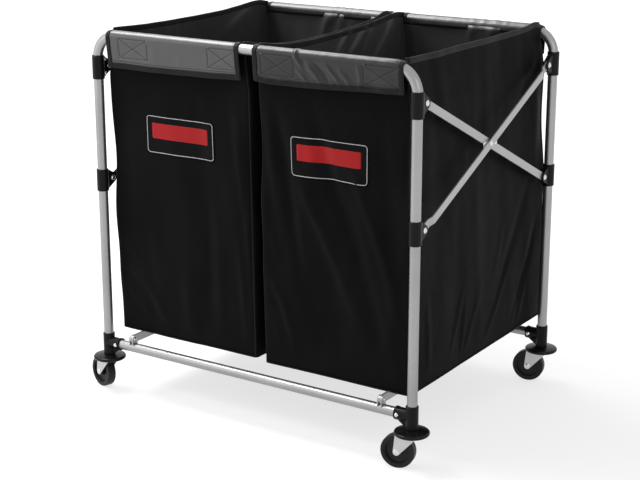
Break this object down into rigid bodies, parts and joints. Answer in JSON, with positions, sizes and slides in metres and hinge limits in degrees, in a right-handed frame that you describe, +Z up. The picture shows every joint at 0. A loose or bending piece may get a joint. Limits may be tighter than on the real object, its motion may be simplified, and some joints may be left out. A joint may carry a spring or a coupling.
{
  "type": "folding laundry sorter cart",
  "caption": "Folding wheeled laundry sorter: silver tube frame with crossed flat bars at the ends, open hanging black fabric bags and swivel casters with bumper discs.",
  "frame": {"origin": "on the floor, midway between the four legs of the open frame", "axes": "+X along the long front with its pair of bags, +Y from the front to the rear, +Z up"},
  "size_m": [0.9351, 0.6904, 0.8602],
  "materials": {
    "frame_steel": "satin silver powder coat on round steel tube",
    "bar_steel": "satin silver flat steel bar",
    "fastener_steel": "bright zinc-plated rivets, bolts, stems and axles",
    "black_plastic": "moulded black nylon with a fine grain",
    "bumper_plastic": "smooth black soft plastic",
    "fork_zinc": "pressed zinc-plated steel",
    "wheel_rubber": "dark moulded wheel with a bonded rubber tread",
    "bag_nylon": "coated black woven nylon with a soft sheen"
  },
  "bodies": {
    "front_frame": {"front_frame_tube": "frame_steel", "front_bottom_rail": "frame_steel", "front_strut_brackets": "bar_steel", "clamp_front_left": "black_plastic", "clamp_front_right": "black_plastic", "front_frame_bolts": "fastener_steel", "front_pivot_pins": "fastener_steel", "socket_front_left": "black_plastic", "socket_front_right": "black_plastic", "bumper_front_left": "bumper_plastic", "bumper_front_right": "bumper_plastic", "front_caster_stems": "fastener_steel", "bag_left_front_hem": "bag_nylon", "bag_right_front_hem": "bag_nylon", "bag_left": "bag_nylon", "bag_right": "bag_nylon"},
    "rear_frame": {"rear_frame_tube": "frame_steel", "rear_bottom_rail": "frame_steel", "rear_strut_brackets": "bar_steel", "clamp_rear_left": "black_plastic", "clamp_rear_right": "black_plastic", "rear_frame_bolts": "fastener_steel", "rear_pivot_pins": "fastener_steel", "socket_rear_left": "black_plastic", "socket_rear_right": "black_plastic", "bumper_rear_left": "bumper_plastic", "bumper_rear_right": "bumper_plastic", "rear_caster_stems": "fastener_steel", "bag_left_rear_hem": "bag_nylon", "bag_right_rear_hem": "bag_nylon"},
    "inner_arm_left": {"inner_bar_left": "bar_steel", "centre_rivet_left": "fastener_steel"},
    "outer_arm_left": {"outer_bar_left": "bar_steel"},
    "slide_front_left": {"slider_front_left": "black_plastic", "slider_pin_front_left": "fastener_steel"},
    "slide_rear_left": {"slider_rear_left": "black_plastic", "slider_pin_rear_left": "fastener_steel"},
    "inner_arm_right": {"inner_bar_right": "bar_steel", "centre_rivet_right": "fastener_steel"},
    "outer_arm_right": {"outer_bar_right": "bar_steel"},
    "slide_front_right": {"slider_front_right": "black_plastic", "slider_pin_front_right": "fastener_steel"},
    "slide_rear_right": {"slider_rear_right": "black_plastic", "slider_pin_rear_right": "fastener_steel"},
    "base_front": {"front_base_struts": "bar_steel", "base_cross_tube": "bar_steel", "base_mid_rivets": "fastener_steel"},
    "base_rear": {"rear_base_struts": "bar_steel"},
    "caster_front_left": {"fork_front_left": "fork_zinc", "axle_front_left": "fastener_steel"},
    "roller_front_left": {"wheel_front_left": "wheel_rubber"},
    "caster_front_right": {"fork_front_right": "fork_zinc", "axle_front_right": "fastener_steel"},
    "roller_front_right": {"wheel_front_right": "wheel_rubber"},
    "caster_rear_left": {"fork_rear_left": "fork_zinc", "axle_rear_left": "fastener_steel"},
    "roller_rear_left": {"wheel_rear_left": "wheel_rubber"},
    "caster_rear_right": {"fork_rear_right": "fork_zinc", "axle_rear_right": "fastener_steel"},
    "roller_rear_right": {"wheel_rear_right": "wheel_rubber"}
  },
  "joints": [
    {"name": "fold", "type": "hinge", "parent": "front_frame", "child": "inner_arm_right", "pos_m": [0.415, -0.277, 0.773], "axis": [-1, 0, 0], "range_deg": [0, 53.7], "deforming": ["bag_left", "bag_right"]},
    {"name": "cross_right", "type": "hinge", "parent": "inner_arm_right", "child": "outer_arm_right", "pos_m": [0.415, 0, 0.6425], "axis": [1, 0, 0], "range_deg": [0, 107.4]},
    {"name": "rear_frame_pivot", "type": "hinge", "parent": "outer_arm_right", "child": "rear_frame", "pos_m": [0.415, 0.277, 0.773], "axis": [-1, 0, 0], "range_deg": [0, 53.7]},
    {"name": "slide_front_right_pivot", "type": "hinge", "parent": "outer_arm_right", "child": "slide_front_right", "pos_m": [0.415, -0.277, 0.512], "axis": [-1, 0, 0], "range_deg": [0, 53.7]},
    {"name": "slide_rear_right_pivot", "type": "hinge", "parent": "inner_arm_right", "child": "slide_rear_right", "pos_m": [0.415, 0.277, 0.512], "axis": [1, 0, 0], "range_deg": [0, 53.7]},
    {"name": "inner_arm_left_pivot", "type": "hinge", "parent": "front_frame", "child": "inner_arm_left", "pos_m": [-0.415, -0.277, 0.773], "axis": [-1, 0, 0], "range_deg": [0, 53.7]},
    {"name": "cross_left", "type": "hinge", "parent": "inner_arm_left", "child": "outer_arm_left", "pos_m": [-0.415, 0, 0.6425], "axis": [1, 0, 0], "range_deg": [0, 107.4]},
    {"name": "slide_front_left_pivot", "type": "hinge", "parent": "outer_arm_left", "child": "slide_front_left", "pos_m": [-0.415, -0.277, 0.512], "axis": [-1, 0, 0], "range_deg": [0, 53.7]},
    {"name": "slide_rear_left_pivot", "type": "hinge", "parent": "inner_arm_left", "child": "slide_rear_left", "pos_m": [-0.415, 0.277, 0.512], "axis": [1, 0, 0], "range_deg": [0, 53.7]},
    {"name": "base_front_pivot", "type": "hinge", "parent": "front_frame", "child": "base_front", "pos_m": [0, -0.307, 0.139], "axis": [1, 0, 0], "range_deg": [0, 73.19]},
    {"name": "base_rear_pivot", "type": "hinge", "parent": "rear_frame", "child": "base_rear", "pos_m": [0, 0.307, 0.139], "axis": [-1, 0, 0], "range_deg": [0, 73.19]},
    {"name": "swivel_front_left", "type": "hinge", "parent": "front_frame", "child": "caster_front_left", "pos_m": [-0.415, -0.307, 0.075], "axis": [0, 0, 1], "continuous": true},
    {"name": "spin_front_left", "type": "hinge", "parent": "caster_front_left", "child": "roller_front_left", "pos_m": [-0.44283, -0.29886, 0.0375], "axis": [-0.2807, -0.9598, 0], "continuous": true},
    {"name": "swivel_front_right", "type": "hinge", "parent": "front_frame", "child": "caster_front_right", "pos_m": [0.415, -0.307, 0.075], "axis": [0, 0, 1], "continuous": true},
    {"name": "spin_front_right", "type": "hinge", "parent": "caster_front_right", "child": "roller_front_right", "pos_m": [0.3866, -0.31288, 0.0375], "axis": [0.2028, -0.9792, 0], "continuous": true},
    {"name": "swivel_rear_left", "type": "hinge", "parent": "rear_frame", "child": "caster_rear_left", "pos_m": [-0.415, 0.307, 0.075], "axis": [0, 0, 1], "continuous": true},
    {"name": "spin_rear_left", "type": "hinge", "parent": "caster_rear_left", "child": "roller_rear_left", "pos_m": [-0.44393, 0.30902, 0.0375], "axis": [-0.0698, -0.9976, 0], "continuous": true},
    {"name": "swivel_rear_right", "type": "hinge", "parent": "rear_frame", "child": "caster_rear_right", "pos_m": [0.415, 0.307, 0.075], "axis": [0, 0, 1], "continuous": true},
    {"name": "spin_rear_right", "type": "hinge", "parent": "caster_rear_right", "child": "roller_rear_right", "pos_m": [0.3866, 0.30112, 0.0375], "axis": [0.2028, -0.9792, 0], "continuous": true}
  ],
  "couplings": [
    {"joint": "cross_right", "follows": "fold", "ratio": 2},
    {"joint": "rear_frame_pivot", "follows": "fold", "ratio": 1},
    {"joint": "slide_front_right_pivot", "follows": "fold", "ratio": 1},
    {"joint": "slide_rear_right_pivot", "follows": "fold", "ratio": 1},
    {"joint": "inner_arm_left_pivot", "follows": "fold", "ratio": 1},
    {"joint": "cross_left", "follows": "fold", "ratio": 2},
    {"joint": "slide_front_left_pivot", "follows": "fold", "ratio": 1},
    {"joint": "slide_rear_left_pivot", "follows": "fold", "ratio": 1},
    {"joint": "base_front_pivot", "follows": "fold", "ratio": 1.3628},
    {"joint": "base_rear_pivot", "follows": "fold", "ratio": 1.3628}
  ]
}
